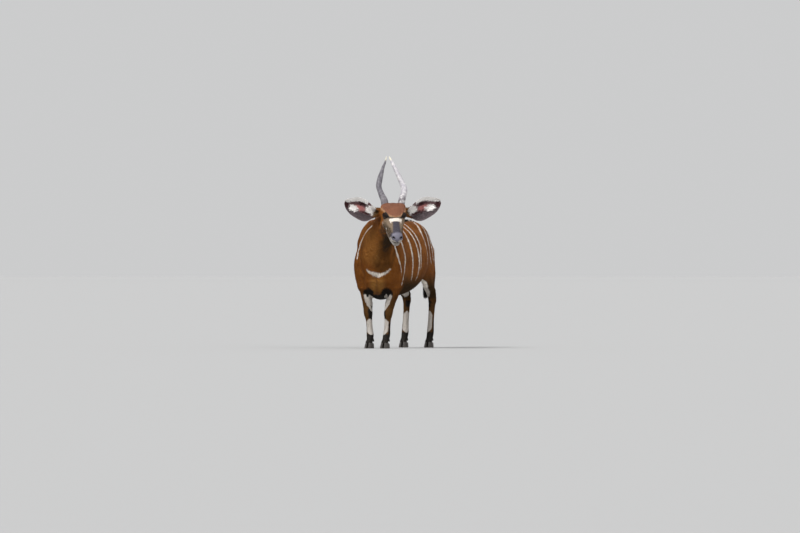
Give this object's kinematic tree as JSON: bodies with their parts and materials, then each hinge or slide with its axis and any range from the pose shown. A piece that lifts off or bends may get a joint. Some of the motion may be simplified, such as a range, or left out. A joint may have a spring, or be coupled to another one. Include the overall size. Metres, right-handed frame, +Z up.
{
  "type": "bongo antelope, still life-size model",
  "caption": "Life-size still model of a standing bongo antelope with its head turned to its left, spiral horns, broad ears, crest along the back, and cloven hooves.",
  "frame": {"origin": "on the floor, under the middle of the whole animal's box", "axes": "+Z up, -Y the way the body faces, +X the animal's left"},
  "size_m": [0.8802, 1.8814, 1.8056],
  "materials": {
    "coat": "short glossy chestnut hair with cream stripes",
    "ear_skin": "matt, thinly haired",
    "horn": "worn horn with ivory tips",
    "eye": "wet and dark",
    "hoof": "dull black horn"
  },
  "bodies": {
    "root": {"torso": "coat", "neck": "coat", "head": "coat", "foreleg_left": "coat", "foreleg_right": "coat", "hindleg_left": "coat", "hindleg_right": "coat", "tail": "coat", "ear_left": "ear_skin", "ear_right": "ear_skin", "horn_left": "horn", "horn_right": "horn", "eye_left": "eye", "eye_right": "eye", "hoof_foreleg_left_left": "hoof", "dewclaw_foreleg_left_left": "hoof", "hoof_foreleg_left_right": "hoof", "dewclaw_foreleg_left_right": "hoof", "hoof_foreleg_right_left": "hoof", "dewclaw_foreleg_right_left": "hoof", "hoof_foreleg_right_right": "hoof", "dewclaw_foreleg_right_right": "hoof", "hoof_hindleg_left_left": "hoof", "dewclaw_hindleg_left_left": "hoof", "hoof_hindleg_left_right": "hoof", "dewclaw_hindleg_left_right": "hoof", "hoof_hindleg_right_left": "hoof", "dewclaw_hindleg_right_left": "hoof", "hoof_hindleg_right_right": "hoof", "dewclaw_hindleg_right_right": "hoof"}
  },
  "joints": []
}
